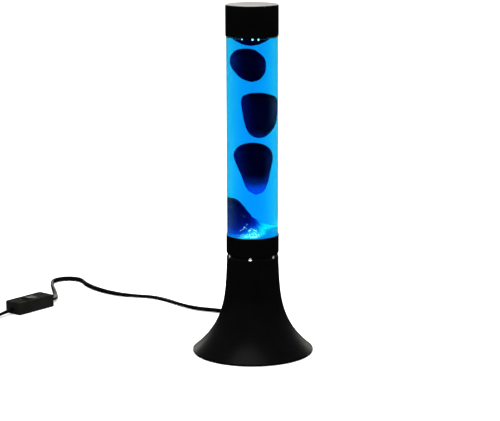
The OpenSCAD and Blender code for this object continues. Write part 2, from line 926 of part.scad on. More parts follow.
base_shell();
base_plate();
plate_brackets();
plate_screws();
rubber_feet();
bottle_seat();
seat_gasket();
threaded_tube();
tube_nuts();
holder_cap();
holder_body();
holder_shell();
holder_contact();
holder_terminals();
bulb_cap();
bulb_insulator();
bulb_tip();
bulb_glass();
bulb_stem();
bulb_filament();
cord_strain_relief();
cord_clamp();
clamp_screws();
flex_inner();
lead_wires();
glass_bottle();
liquid();
wax_top_dome();
wax_upper();
wax_middle();
wax_lower();
wax_mound();
heat_coil();
neck_closure();
neck_seal();
cap_shell();
cap_spacer();
flex_lamp_side();
switch_lower_housing();
switch_upper_housing();
switch_rocker();
switch_screws();
switch_terminals();
switch_contacts();
flex_plug_side();
flex_coil();
coil_ties();
flex_plug_tail();
plug_body();
plug_pins();
plug_pin_sleeves();
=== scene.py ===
"""Lava lamp: looks, liquid, wax and flex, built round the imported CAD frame. Metres, +Z up, +Y to the back."""
import json
import math
import random

import bmesh
import bpy
from mathutils import Matrix, Vector

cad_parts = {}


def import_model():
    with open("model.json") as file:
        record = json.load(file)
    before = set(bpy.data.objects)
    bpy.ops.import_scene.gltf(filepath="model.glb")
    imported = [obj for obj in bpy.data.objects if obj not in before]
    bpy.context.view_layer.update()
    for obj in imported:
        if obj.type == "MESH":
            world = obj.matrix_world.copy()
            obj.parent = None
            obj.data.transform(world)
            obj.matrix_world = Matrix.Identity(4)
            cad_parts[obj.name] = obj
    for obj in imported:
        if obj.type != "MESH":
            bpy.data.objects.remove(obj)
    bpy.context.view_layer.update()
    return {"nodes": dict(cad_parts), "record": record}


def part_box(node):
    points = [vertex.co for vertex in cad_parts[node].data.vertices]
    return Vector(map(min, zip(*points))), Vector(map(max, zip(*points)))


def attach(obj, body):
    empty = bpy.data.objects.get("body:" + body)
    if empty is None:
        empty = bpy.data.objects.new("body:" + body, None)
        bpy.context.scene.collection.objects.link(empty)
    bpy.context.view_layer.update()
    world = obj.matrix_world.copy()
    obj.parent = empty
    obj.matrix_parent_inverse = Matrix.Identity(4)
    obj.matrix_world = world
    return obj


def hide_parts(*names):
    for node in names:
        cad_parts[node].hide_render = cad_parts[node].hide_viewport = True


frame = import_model()

MM = 0.001


# ---------------------------------------------------------------- camera

# The lamp is 2 m away, seen from a little above, with a long lens
CAMERA_AT = (-0.00287, -2.039, 0.59305)
CAMERA_DOWN = math.radians(11.8565)
CAMERA_ROLL = math.radians(-0.1845)
LENS_MM = 131.54

camera_data = bpy.data.cameras.new("camera")
camera_data.sensor_width = 36.0
camera_data.sensor_fit = "HORIZONTAL"
camera_data.lens = LENS_MM
camera_data.clip_start = 0.05
camera = bpy.data.objects.new("camera", camera_data)
bpy.context.scene.collection.objects.link(camera)
camera.matrix_world = (
    Matrix.Translation(CAMERA_AT)
    @ Matrix.Rotation(math.pi / 2 - CAMERA_DOWN, 4, "X")
    @ Matrix.Rotation(CAMERA_ROLL, 4, "Z")
)
bpy.context.scene.camera = camera
bpy.context.scene.view_settings.view_transform = "Standard"


# ---------------------------------------------------------------- mesh helpers


def new_object(name, mesh, body, replaced=()):
    """Links a mesh as a piece that rides on a body."""
    piece = bpy.data.objects.new(name, mesh)
    bpy.context.scene.collection.objects.link(piece)
    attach(piece, body)
    if replaced:
        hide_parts(*replaced)
    return piece


def mesh_from(name, points, faces):
    mesh = bpy.data.meshes.new(name)
    mesh.from_pydata([tuple(p) for p in points], [], faces)
    mesh.validate()
    shape = bmesh.new()
    shape.from_mesh(mesh)
    bmesh.ops.remove_doubles(shape, verts=shape.verts, dist=1e-7)
    bmesh.ops.recalc_face_normals(shape, faces=shape.faces)
    shape.to_mesh(mesh)
    shape.free()
    mesh.polygons.foreach_set("use_smooth", [True] * len(mesh.polygons))
    return mesh


def joined(name, parts):
    """One mesh of several (points, faces) parts."""
    points, faces = [], []
    for part_points, part_faces in parts:
        start = len(points)
        points += [tuple(p) for p in part_points]
        faces += [tuple(i + start for i in f) for f in part_faces]
    return mesh_from(name, points, faces)


def sharpen(mesh, degrees=35):
    """Marks edges sharper than the angle, so that smooth shading stops there."""
    shape = bmesh.new()
    shape.from_mesh(mesh)
    limit = math.radians(degrees)
    for edge in shape.edges:
        edge.smooth = len(edge.link_faces) != 2 or edge.calc_face_angle(0.0) < limit
    shape.to_mesh(mesh)
    shape.free()
    return mesh


def lathe(outline, segments=192, at=(0, 0, 0), turn=None):
    """Points and faces of an outline of (radius, height) turned about Z. Ends on the axis close."""
    points, rows = [], []
    for r, z in outline:
        if r < 1e-9:
            rows.append([len(points)] * segments)
            points.append(Vector((0, 0, z)))
            continue
        rows.append(list(range(len(points), len(points) + segments)))
        for k in range(segments):
            a = 2 * math.pi * k / segments
            points.append(Vector((r * math.cos(a), r * math.sin(a), z)))
    faces = []
    for low, high in zip(rows, rows[1:]):
        for k in range(segments):
            n = (k + 1) % segments
            corner = [low[k], low[n], high[n], high[k]]
            loop = [c for i, c in enumerate(corner) if c != corner[i - 1]]
            if len(loop) > 2:
                faces.append(tuple(loop))
    place = Matrix.Translation(at) @ (turn or Matrix.Identity(4))
    return [place @ p for p in points], faces


def arc(cx, cz, r, start, stop, steps=8):
    """Points of an arc, angles in degrees."""
    turns = [math.radians(start + (stop - start) * i / steps) for i in range(steps + 1)]
    return [(cx + r * math.cos(a), cz + r * math.sin(a)) for a in turns]


def closed(outline):
    return outline + [outline[0]]


def in_metres(outline):
    return [(r * MM, z * MM) for r, z in outline]


def bands(rows, around, start=0, wrap=False):
    """Faces between rings of points, each ring joined to the next, and the last to the first if wrapped."""
    faces = []
    for i in range(rows if wrap else rows - 1):
        low, high = start + i * around, start + (i + 1) % rows * around
        for k in range(around):
            n = (k + 1) % around
            faces.append((low + k, low + n, high + n, high + k))
    return faces


def smooth_path(points, step):
    """Points about a step apart on a centripetal Catmull-Rom curve through the given points."""
    knots = [Vector(p) for p in points]
    knots = [2 * knots[0] - knots[1]] + knots + [2 * knots[-1] - knots[-2]]
    line = []
    for p0, p1, p2, p3 in zip(knots, knots[1:], knots[2:], knots[3:]):
        t = [0.0]
        for a, b in ((p0, p1), (p1, p2), (p2, p3)):
            t.append(t[-1] + max((b - a).length, 1e-9) ** 0.5)
        count = max(1, round((p2 - p1).length / step))
        for i in range(count):
            u = t[1] + (t[2] - t[1]) * i / count
            a1 = p0.lerp(p1, (u - t[0]) / (t[1] - t[0]))
            a2 = p1.lerp(p2, (u - t[1]) / (t[2] - t[1]))
            a3 = p2.lerp(p3, (u - t[2]) / (t[3] - t[2]))
            b1 = a1.lerp(a2, (u - t[0]) / (t[2] - t[0]))
            b2 = a2.lerp(a3, (u - t[1]) / (t[3] - t[1]))
            line.append(b1.lerp(b2, (u - t[1]) / (t[2] - t[1])))
    return line + [knots[-2]]


def sweep(path, section, stand=None, closed_path=False):
    """A closed section of (across, up) swept along a path.

    stand gives each ring's turn about the path, in radians.
    """
    count = len(path)
    points = []
    for i, p in enumerate(path):
        before = path[(i - 1) % count] if closed_path else path[max(i - 1, 0)]
        after = path[(i + 1) % count] if closed_path else path[min(i + 1, count - 1)]
        along = (after - before).normalized()
        side = Vector((0, 0, 1)).cross(along).normalized()
        up = along.cross(side)
        a = stand[i] if stand else 0.0
        across, rise = side * math.cos(a) + up * math.sin(a), up * math.cos(a) - side * math.sin(a)
        points += [p + across * u + rise * v for u, v in section]
    n = len(section)
    faces = bands(count, n, wrap=closed_path)
    if not closed_path:
        faces.append(tuple(range(n)))
        faces.append(tuple(reversed(range((count - 1) * n, count * n))))
    return points, faces


def circle(r, sides=12):
    turns = [2 * math.pi * k / sides for k in range(sides)]
    return [(r * math.cos(a), r * math.sin(a)) for a in turns]


# ---------------------------------------------------------------- material helpers


MATERIALS = {}


def material(name):
    """A new material with one shader, kept in MATERIALS under its name."""
    made = bpy.data.materials.new(name)
    MATERIALS[name] = made
    made.use_nodes = True
    nodes, links = made.node_tree.nodes, made.node_tree.links
    nodes.clear()
    out = nodes.new("ShaderNodeOutputMaterial")
    shader = nodes.new("ShaderNodeBsdfPrincipled")
    links.new(shader.outputs["BSDF"], out.inputs["Surface"])
    return made, nodes, links, shader, out


def noise(nodes, links, scale, detail=4.0, roughness=0.5, stretch=None):
    """Noise over the piece's own coordinates, in metres."""
    where = nodes.new("ShaderNodeTexCoord")
    texture = nodes.new("ShaderNodeTexNoise")
    texture.inputs["Scale"].default_value = scale
    texture.inputs["Detail"].default_value = detail
    texture.inputs["Roughness"].default_value = roughness
    if stretch:
        mapping = nodes.new("ShaderNodeMapping")
        mapping.inputs["Scale"].default_value = stretch
        links.new(where.outputs["Object"], mapping.inputs["Vector"])
        links.new(mapping.outputs["Vector"], texture.inputs["Vector"])
    else:
        links.new(where.outputs["Object"], texture.inputs["Vector"])
    return texture.outputs["Fac"]


def spread(nodes, links, value, low, high):
    """Maps 0.3..0.7 of a noise to low..high."""
    ranged = nodes.new("ShaderNodeMapRange")
    ranged.inputs["From Min"].default_value = 0.3
    ranged.inputs["From Max"].default_value = 0.7
    ranged.inputs["To Min"].default_value = low
    ranged.inputs["To Max"].default_value = high
    links.new(value, ranged.inputs["Value"])
    return ranged.outputs["Result"]


def two_tone(nodes, links, shader, value, dark, light):
    """Base colour between dark and light, by a value from 0 to 1."""
    mix = nodes.new("ShaderNodeMix")
    mix.data_type = "RGBA"
    links.new(value, mix.inputs["Factor"])
    mix.inputs["A"].default_value = (*dark, 1)
    mix.inputs["B"].default_value = (*light, 1)
    links.new(mix.outputs["Result"], shader.inputs["Base Color"])


def bump(nodes, links, shader, height, strength, distance):
    node = nodes.new("ShaderNodeBump")
    node.inputs["Strength"].default_value = strength
    node.inputs["Distance"].default_value = distance
    links.new(height, node.inputs["Height"])
    links.new(node.outputs["Normal"], shader.inputs["Normal"])


def surface(name, dark, light, rough, metallic=0.0, grain=900.0, relief=0.2, depth=0.00005, mottle=60.0,
            **plain):
    """The common finish: two tones mottled by noise, coarser noise in the gloss, and a fine grain as bump."""
    made, nodes, links, shader, _ = material(name)
    two_tone(nodes, links, shader, spread(nodes, links, noise(nodes, links, mottle), 0, 1), dark, light)
    links.new(spread(nodes, links, noise(nodes, links, mottle * 0.6, 3), *rough), shader.inputs["Roughness"])
    bump(nodes, links, shader, noise(nodes, links, grain, 3), relief, depth)
    shader.inputs["Metallic"].default_value = metallic
    for socket, value in plain.items():
        shader.inputs[socket.replace("_", " ")].default_value = value
    return made


def colour_ramp(nodes, links, share, stops):
    """Colours blended between stops of (place from 0 to 1, colour), read at the share."""
    made = nodes.new("ShaderNodeValToRGB")
    links.new(share, made.inputs["Fac"])
    while len(made.color_ramp.elements) < len(stops):
        made.color_ramp.elements.new(0.5)
    for element, (place, colour) in zip(made.color_ramp.elements, stops):
        element.position = place
        element.color = (*colour, 1)
    return made.outputs["Color"]


def coordinate(nodes, links, axis):
    """The piece's own X, Y or Z at each point, in metres."""
    where = nodes.new("ShaderNodeTexCoord")
    split = nodes.new("ShaderNodeSeparateXYZ")
    links.new(where.outputs["Object"], split.inputs["Vector"])
    return split.outputs[axis]


def share_of(nodes, links, value, low, high):
    """0 where the value is low, 1 where it is high."""
    ranged = nodes.new("ShaderNodeMapRange")
    ranged.inputs["From Min"].default_value = low
    ranged.inputs["From Max"].default_value = high
    links.new(value, ranged.inputs["Value"])
    return ranged.outputs["Result"]


# ---------------------------------------------------------------- materials

GLASS_IOR = 1.49
LIQUID_IOR = 1.33
LIQUID_TINT = (0.2, 0.95, 0.46, 1)
LIQUID_LETS_THROUGH = (0.0, 0.70, 1.0, 1)
LIQUID_DENSITY = 115.0
WAX_DARK = (0.0002, 0.0005, 0.010)
WAX_LIGHT = (0.0004, 0.001, 0.020)
WAX_GLOW = 1.5
# The edge of a glow in the wax wanders up and down by this much
GLOW_WAVES = 0.0022
# The liquid's half depth, and how much more green a glow at the back of it needs than one at the front
LIQUID_HALF_DEPTH = 0.027
GREEN_GAIN = 6.4
# Glow of the drops' sides by where the face looks, from -X to +X
SIDE_GLOW = (
    (0, (0, 0.006, 0.11)), (0.2, (0, 0.001, 0.03)), (0.4, (0, 0, 0.006)), (0.8, (0, 0, 0.006)),
    (1, (0, 0.003, 0.05)),
)
# Glow of the mound by height in mm, and how much its edge falls to +X
MOUND_GLOW = (
    (130, (0.0, 0.13, 0.84)), (137.5, (0.0, 0.18, 0.84)), (140, (0.02, 0.46, 0.95)),
    (142.5, (0.02, 0.5, 0.95)), (145, (0.0, 0.36, 0.92)), (148, (0.0, 0.1, 0.8)),
    (151.5, (0.0, 0.02, 0.5)), (156, (0.0, 0.006, 0.25)), (160, (0.0, 0.002, 0.12)),
    (167, (0.0, 0.0005, 0.06)), (186, (0.0, 0.0, 0.03)),
)
MOUND_GLOW_TILT = 0.4


def brushed(name, dark, light, rough, stretch):
    """Bare metal with fine lines along one way."""
    made, nodes, links, shader, _ = material(name)
    lines = noise(nodes, links, 220, 6, 0.6, stretch)
    two_tone(nodes, links, shader, spread(nodes, links, lines, 0, 1), dark, light)
    links.new(spread(nodes, links, lines, *rough), shader.inputs["Roughness"])
    bump(nodes, links, shader, lines, 0.15, 0.00003)
    shader.inputs["Metallic"].default_value = 1.0
    return made


def clear_glass(name):
    """Clear glass with the faint waves of drawn tube."""
    made, nodes, links, shader, _ = material(name)
    shader.inputs["Base Color"].default_value = (1, 1, 1, 1)
    shader.inputs["Transmission Weight"].default_value = 1.0
    shader.inputs["Roughness"].default_value = 0.0
    shader.inputs["IOR"].default_value = GLASS_IOR
    shader.inputs["Specular Tint"].default_value = (0.01, 0.01, 0.01, 1)
    bump(nodes, links, shader, noise(nodes, links, 30, 1, 0.4, (1, 1, 0.25)), 0.05, 0.0002)
    return made


def blue_liquid(name):
    """Clear blue liquid: its colour deepens with the length of the way through it."""
    made, nodes, links, shader, out = material(name)
    shader.inputs["Base Color"].default_value = LIQUID_TINT
    shader.inputs["Transmission Weight"].default_value = 1.0
    shader.inputs["Roughness"].default_value = 0.0
    shader.inputs["IOR"].default_value = LIQUID_IOR
    shader.inputs["Specular Tint"].default_value = (0.0, 0.0, 0.0, 1)
    bump(nodes, links, shader, noise(nodes, links, 25, 1, 0.4), 0.02, 0.0002)
    tint = nodes.new("ShaderNodeVolumeAbsorption")
    tint.inputs["Color"].default_value = LIQUID_LETS_THROUGH
    tint.inputs["Density"].default_value = LIQUID_DENSITY
    links.new(tint.outputs["Volume"], out.inputs["Volume"])
    return made


def height_ramp(nodes, links, stops, tilt):
    """Colours by height, blended between stops of (height in mm, colour).

    Their edges are wavy, and fall by the tilt to +X.
    """
    waves = spread(nodes, links, noise(nodes, links, 70, 3), -GLOW_WAVES, GLOW_WAVES)
    leaned = nodes.new("ShaderNodeMath")
    leaned.operation = "MULTIPLY_ADD"
    links.new(coordinate(nodes, links, "X"), leaned.inputs[0])
    leaned.inputs[1].default_value = -tilt
    links.new(coordinate(nodes, links, "Z"), leaned.inputs[2])
    height = nodes.new("ShaderNodeMath")
    links.new(leaned.outputs["Value"], height.inputs[0])
    links.new(waves, height.inputs[1])
    low, high = stops[0][0] * MM, stops[-1][0] * MM
    places = [((z * MM - low) / (high - low), colour) for z, colour in stops]
    return colour_ramp(nodes, links, share_of(nodes, links, height.outputs["Value"], low, high), places)


def through_liquid(nodes, links, colour):
    """Makes the green of a glow stronger towards the back, as the liquid in front of it takes that away."""
    depth = coordinate(nodes, links, "Y")
    rise = nodes.new("ShaderNodeMath")
    rise.operation = "POWER"
    rise.inputs[0].default_value = GREEN_GAIN
    links.new(share_of(nodes, links, depth, -LIQUID_HALF_DEPTH, LIQUID_HALF_DEPTH), rise.inputs[1])
    gain = nodes.new("ShaderNodeCombineXYZ")
    gain.inputs["X"].default_value = 1.0
    gain.inputs["Z"].default_value = 1.0
    links.new(rise.outputs["Value"], gain.inputs["Y"])
    product = nodes.new("ShaderNodeVectorMath")
    product.operation = "MULTIPLY"
    links.new(colour, product.inputs[0])
    links.new(gain.outputs["Vector"], product.inputs[1])
    return product.outputs["Vector"]


def side_glow(nodes, links):
    """A faint painted blue rim light on the faces that look to the sides, most on the -X side."""
    shape = nodes.new("ShaderNodeNewGeometry")
    split = nodes.new("ShaderNodeSeparateXYZ")
    links.new(shape.outputs["Normal"], split.inputs["Vector"])
    return colour_ramp(nodes, links, share_of(nodes, links, split.outputs["X"], -1, 1), SIDE_GLOW)


def wax_skin(name, stops, tilt=0.0, clearing=False):
    """Dark blue wax with the bulb's light soaking in from below.

    stops are the colours of that light by height. clearing is for wax that is seen at several depths.
    """
    made, nodes, links, shader, _ = material(name)
    tones = spread(nodes, links, noise(nodes, links, 45, 3), 0, 1)
    two_tone(nodes, links, shader, tones, WAX_DARK, WAX_LIGHT)
    links.new(spread(nodes, links, noise(nodes, links, 70, 2), 0.3, 0.45), shader.inputs["Roughness"])
    shader.inputs["IOR"].default_value = 1.2
    shader.inputs["Specular IOR Level"].default_value = 0.0
    bump(nodes, links, shader, noise(nodes, links, 60, 2), 0.08, 0.0006)
    glow = height_ramp(nodes, links, stops, tilt)
    if clearing:
        glow = through_liquid(nodes, links, glow)
    both = nodes.new("ShaderNodeVectorMath")
    links.new(glow, both.inputs[0])
    links.new(side_glow(nodes, links), both.inputs[1])
    links.new(both.outputs["Vector"], shader.inputs["Emission Color"])
    shader.inputs["Emission Strength"].default_value = WAX_GLOW
    return made


def wax_material(name, low, high, strength):
    """A drop's wax, lit from its lower end at height low, dark from height high."""
    blue = (0.0, 0.1 * strength, 0.92 * strength)
    fading = ((0, 1), (0.35, 0.75), (0.65, 0.16), (1, 0))
    return wax_skin(name, [(low + up * (high - low), tuple(left * c for c in blue)) for up, left in fading])


def glowing(name, colour, strength, base):
    made, nodes, links, shader, _ = material(name)
    two_tone(nodes, links, shader, spread(nodes, links, noise(nodes, links, 120, 2), 0, 1), base, colour)
    shader.inputs["Roughness"].default_value = 0.5
    shader.inputs["Emission Color"].default_value = (*colour, 1)
    shader.inputs["Emission Strength"].default_value = strength
    return made


surface("satin_black_metal", (0.0005, 0.0005, 0.00055), (0.0009, 0.0009, 0.00095), (0.30, 0.38),
        grain=1500, relief=0.25, depth=0.00004, mottle=35, Specular_IOR_Level=0.05)
brushed("plate_steel", (0.42, 0.43, 0.45), (0.6, 0.61, 0.62), (0.28, 0.42), (1, 8, 1))
brushed("screw_steel", (0.5, 0.5, 0.5), (0.7, 0.7, 0.68), (0.2, 0.35), (6, 1, 1))
brushed("tube_steel", (0.5, 0.48, 0.42), (0.68, 0.66, 0.6), (0.25, 0.4), (1, 1, 6))
surface("foot_rubber", (0.015, 0.015, 0.015), (0.03, 0.03, 0.03), (0.7, 0.9), grain=1200)
surface("gasket_fibre", (0.36, 0.33, 0.27), (0.55, 0.52, 0.45), (0.8, 0.95), grain=700, relief=0.6,
        depth=0.0002)
surface("phenolic", (0.008, 0.008, 0.009), (0.02, 0.018, 0.016), (0.2, 0.35), grain=1100)
brushed("contact_brass", (0.62, 0.43, 0.16), (0.8, 0.6, 0.28), (0.2, 0.35), (1, 6, 1))
brushed("bulb_brass", (0.68, 0.52, 0.26), (0.85, 0.7, 0.42), (0.18, 0.3), (1, 1, 5))
surface("black_glass", (0.004, 0.004, 0.01), (0.01, 0.01, 0.02), (0.05, 0.12), relief=0.05)
surface("solder", (0.4, 0.4, 0.38), (0.6, 0.6, 0.57), (0.25, 0.4), metallic=1.0, mottle=300)
glowing("bulb_glass", (1.0, 0.72, 0.68), 3.5, (0.9, 0.88, 0.84))
surface("inside_primer", (0.42, 0.42, 0.40), (0.52, 0.52, 0.50), (0.6, 0.75), grain=900)
brushed("tungsten", (0.2, 0.2, 0.2), (0.35, 0.35, 0.35), (0.4, 0.5), (4, 1, 1))
surface("flex_pvc", (0.0010, 0.0010, 0.0010), (0.0022, 0.0022, 0.0022), (0.38, 0.5), grain=1300,
        Specular_IOR_Level=0.06)
surface("relief_rubber", (0.002, 0.002, 0.002), (0.004, 0.004, 0.004), (0.5, 0.62), grain=1100,
        Specular_IOR_Level=0.1)
surface("clamp_plastic", (0.02, 0.02, 0.022), (0.035, 0.035, 0.037), (0.5, 0.6))
surface("wire_pvc", (0.06, 0.14, 0.36), (0.09, 0.2, 0.46), (0.35, 0.45))
clear_glass("bottle_glass")
blue_liquid("blue_liquid")
wax_material("wax", 100, 101, 0.0)
# Bubbles glow by their own emission: painted glints of the bulb's light
glowing("bubble", (0.7, 1.0, 1.0), 2.2, (0.8, 0.9, 0.95))
brushed("coil_wire", (0.6, 0.6, 0.6), (0.85, 0.85, 0.85), (0.1, 0.2), (1, 1, 4))
surface("crown_metal", (0.42, 0.32, 0.09), (0.5, 0.4, 0.13), (0.25, 0.35), metallic=1.0)
surface("seal_rubber", (0.6, 0.6, 0.57), (0.72, 0.72, 0.69), (0.6, 0.75))
surface("spacer_plastic", (0.6, 0.6, 0.57), (0.7, 0.7, 0.67), (0.4, 0.55))
surface("switch_plastic", (0.0045, 0.0045, 0.0042), (0.0075, 0.0075, 0.007), (0.6, 0.75), grain=1000,
        relief=0.5, depth=0.00008, Specular_IOR_Level=0.01)
surface("rocker_plastic", (0.003, 0.003, 0.003), (0.006, 0.006, 0.006), (0.4, 0.5), Specular_IOR_Level=0.04)
surface("tie_plastic", (0.01, 0.01, 0.01), (0.02, 0.02, 0.02), (0.55, 0.7))
surface("plug_plastic", (0.003, 0.003, 0.003), (0.006, 0.006, 0.006), (0.4, 0.52), grain=1000,
        relief=0.4, depth=0.00006, Specular_IOR_Level=0.1)
brushed("pin_nickel", (0.62, 0.6, 0.55), (0.78, 0.76, 0.7), (0.12, 0.22), (1, 6, 1))


def paint(piece, slot):
    piece.data.materials.clear()
    piece.data.materials.append(MATERIALS[slot])
    return piece


def made_of(name, mesh, body, slot, replaced=()):
    """Links a mesh as a piece in the material of its slot."""
    return paint(new_object(name, mesh, body, replaced), slot)


# ---------------------------------------------------------------- lamp: main sizes, from the frame

base_low, base_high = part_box("base_shell")
cap_low, cap_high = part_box("cap_shell")
glass_low, glass_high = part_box("glass_bottle")

FOOT_R = base_high[0]
COLLAR_R = 0.0301
NECK_R = COLLAR_R - 0.0003
GROOVE_R = 0.0285
GROOVE_Z = (0.112, 0.1143, 0.1172)
FLARE_TOP = 0.1063
RIM_TOP = 0.0026
FLARE_POWER = 3.48
FLARE_SHARE = 0.893
BASE_WALL = 0.0008
COLLAR_WALL = 0.0006
COLLAR_TOP = base_high[2]
RELIEF_HOLE_R = 0.0047
VENT_R = 0.0017
VENTS = 6
VENT_START = math.radians(-95.7)
GLASS_R = glass_high[0]
GLASS_WALL = 0.002
LIQUID_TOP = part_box("liquid")[1][2]
LIQUID_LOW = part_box("wax_mound")[0][2]


def flare(z):
    """Outer radius of the trumpet at height z."""
    t = max(0.0, (FLARE_TOP - z) / (FLARE_TOP - RIM_TOP))
    return NECK_R + (FOOT_R - NECK_R) * (FLARE_SHARE * t**FLARE_POWER + (1 - FLARE_SHARE) * t)


def flare_inside(z):
    """Inner radius, the wall's thickness square to the surface."""
    slope = (flare(z - 1e-5) - flare(z + 1e-5)) / 2e-5
    return flare(z) - BASE_WALL * math.sqrt(1 + slope**2)


def base_shell():
    """The spun base: trumpet, V groove with vents, and collar."""
    heights = [RIM_TOP + (FLARE_TOP - RIM_TOP) * (i / 56) for i in range(1, 57)]
    outside = [(FOOT_R - 0.0003, base_low[2]), (FOOT_R, base_low[2] + 0.0003), (FOOT_R, RIM_TOP)]
    outside += [(flare(z), z) for z in heights]
    low, mid, high = GROOVE_Z
    outside += [(NECK_R + 0.00005, low - 0.0012), (NECK_R, low - 0.0005), (NECK_R - 0.0002, low)]
    outside += [(GROOVE_R + 0.00035, mid - 0.0004), (GROOVE_R, mid), (GROOVE_R + 0.00035, mid + 0.0004)]
    outside += [(NECK_R - 0.0001, high - 0.0002), (COLLAR_R - 0.0001, high + 0.0002)]
    outside += [(COLLAR_R, high + 0.0006)]
    outside += [(COLLAR_R, COLLAR_TOP - 0.001), (COLLAR_R + 0.0002, COLLAR_TOP - 0.0006)]
    outside += [(COLLAR_R + 0.0002, COLLAR_TOP - 0.0003), (COLLAR_R, COLLAR_TOP)]
    inside = [(COLLAR_R - COLLAR_WALL + 0.0001, COLLAR_TOP), (COLLAR_R - COLLAR_WALL, COLLAR_TOP - 0.0002)]
    inside += [(COLLAR_R - COLLAR_WALL, high + 0.0006), (GROOVE_R - COLLAR_WALL, mid)]
    inside += [(NECK_R - BASE_WALL, low)]
    inside += [(flare_inside(z), z) for z in reversed(heights[:-1:2])]
    inside += [(FOOT_R - BASE_WALL, RIM_TOP - 0.0006), (FOOT_R - BASE_WALL, base_low[2])]
    mesh = joined("base_shell_skin", [lathe(closed(outside + inside), 240)])
    piece = made_of("base_shell_skin", mesh, "base", "satin_black_metal", ["base_shell"])
    cutters = []
    for i in range(VENTS):
        turn = Matrix.Rotation(VENT_START + 2 * math.pi * i / VENTS, 4, "Z")
        aim = turn @ Matrix.Translation((GROOVE_R - 0.004, 0, mid)) @ Matrix.Rotation(math.pi / 2, 4, "Y")
        points, faces = lathe([(0, 0), (VENT_R, 0), (VENT_R, 0.008), (0, 0.008)], 32)
        cutters.append(([aim @ p for p in points], faces))
    relief_low, relief_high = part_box("cord_strain_relief")
    x, z = (relief_low[0] + relief_high[0]) / 2, (relief_low[2] + relief_high[2]) / 2
    points, faces = lathe([(0, 0), (RELIEF_HOLE_R, 0), (RELIEF_HOLE_R, 0.03), (0, 0.03)], 48)
    aim = Matrix.Translation((x, relief_low[1], z)) @ Matrix.Rotation(-math.pi / 2, 4, "X")
    cutters.append(([aim @ p for p in points], faces))
    cut_with(piece, cutters)
    sharpen(piece.data, 30)
    # The inside is lighter, so that it shines through the vents
    piece.data.materials.append(MATERIALS["inside_primer"])
    for face in piece.data.polygons:
        inwards = face.normal.xy.dot(face.center.xy) < 0
        if inwards and face.center.z < high:
            face.material_index = 1
    return piece


def cut_with(piece, cutters):
    """Takes the cutters out of the piece's mesh."""
    tool = bpy.data.objects.new("cutter", joined("cutter", cutters))
    bpy.context.scene.collection.objects.link(tool)
    cut = piece.modifiers.new("cut", "BOOLEAN")
    cut.operation = "DIFFERENCE"
    cut.solver = "EXACT"
    cut.object = tool
    ready = bpy.context.evaluated_depsgraph_get()
    mesh = bpy.data.meshes.new_from_object(piece.evaluated_get(ready), depsgraph=ready)
    piece.modifiers.clear()
    old = piece.data
    piece.data = mesh
    bpy.data.meshes.remove(old)
    tool_mesh = tool.data
    bpy.data.objects.remove(tool)
    bpy.data.meshes.remove(tool_mesh)
    mesh.polygons.foreach_set("use_smooth", [True] * len(mesh.polygons))


CAP_EDGE = 0.0014


def cap_shell():
    """Pressed cap with a soft top edge and a hemmed lower edge."""
    low, high = cap_low[2], cap_high[2]
    r, wall = cap_high[0], COLLAR_WALL
    outside = [(r - wall + 0.0001, low), (r - 0.0001, low), (r, low + 0.0002)]
    outside += arc(r - CAP_EDGE, high - CAP_EDGE, CAP_EDGE, 0, 90, 10)
    outside += [(r * (1 - k / 8) * 0.95, high) for k in range(8)] + [(0, high)]
    inside = [(0, high - wall)] + [(r * k / 8 * 0.93, high - wall) for k in range(1, 9)]
    inside += arc(r - CAP_EDGE, high - CAP_EDGE, CAP_EDGE - wall, 90, 0, 6) + [(r - wall, low + 0.0002)]
    mesh = sharpen(joined("cap_skin", [lathe(closed(outside + inside), 240)]), 30)
    return made_of("cap_skin", mesh, "cap", "satin_black_metal", ["cap_shell"])


SHOULDER_UNDER_CAP_TOP = 0.034
SHOULDER_ROUND = 0.009


def bottle_outline(r, low, edge, top, neck):
    """Half of the bottle's wall, from the middle of its floor to its mouth."""
    shoulder = cap_high[2] - SHOULDER_UNDER_CAP_TOP
    floor = [(r * k / 6 * 0.85, low) for k in range(7)]
    wall = arc(r - edge, low + edge, edge, -90, 0)
    rise = [(r, low + edge + (shoulder - low - edge) * k / 24) for k in range(1, 24)]
    bend = arc(r - SHOULDER_ROUND, shoulder, SHOULDER_ROUND, 0, 70, 12)
    mouth = [(neck + 0.0012, shoulder + 0.012), (neck, shoulder + 0.015), (neck, top)]
    return floor + wall + rise + bend + mouth


def glass_bottle():
    """The bottle, its outside and inside walls in one closed skin."""
    low, high = glass_low[2], glass_high[2]
    outer = bottle_outline(GLASS_R, low, 0.003, high - 0.0004, 0.013) + [(0.0126, high)]
    inner = bottle_outline(GLASS_R - GLASS_WALL, LIQUID_LOW, 0.002, high, 0.0085)
    mesh = sharpen(joined("bottle_skin", [lathe(outer + inner[::-1], 192)]), 50)
    return made_of("bottle_skin", mesh, "vessel", "bottle_glass", ["glass_bottle"])


# The liquid reaches a hair into the glass, so that no film of air shows between them
LIQUID_INTO_GLASS = 0.00006


LIQUID_EDGE = 0.002
MENISCUS_WIDE = 0.0022
MENISCUS_DEEP = 0.0014


def liquid_body():
    """The liquid, with its surface drawn up at the glass."""
    r = GLASS_R - GLASS_WALL + LIQUID_INTO_GLASS
    low = LIQUID_LOW - LIQUID_INTO_GLASS
    outline = [(r * k / 6 * 0.85, low) for k in range(7)]
    outline += arc(r - LIQUID_EDGE, low + LIQUID_EDGE, LIQUID_EDGE, -90, 0)
    rise = LIQUID_TOP - low - LIQUID_EDGE
    outline += [(r, low + LIQUID_EDGE + rise * k / 24) for k in range(1, 25)]
    for degrees in (15, 35, 55, 75, 90):
        a = math.radians(degrees)
        inwards = MENISCUS_WIDE * (1 - math.cos(a)) + 0.0001
        outline.append((r - inwards, LIQUID_TOP - MENISCUS_DEEP * math.sin(a)))
    outline += [(r * 0.6, LIQUID_TOP - MENISCUS_DEEP), (0, LIQUID_TOP - MENISCUS_DEEP)]
    mesh = sharpen(joined("liquid_body", [lathe(outline, 192)]), 50)
    return made_of("liquid_body", mesh, "vessel", "blue_liquid", ["liquid"])


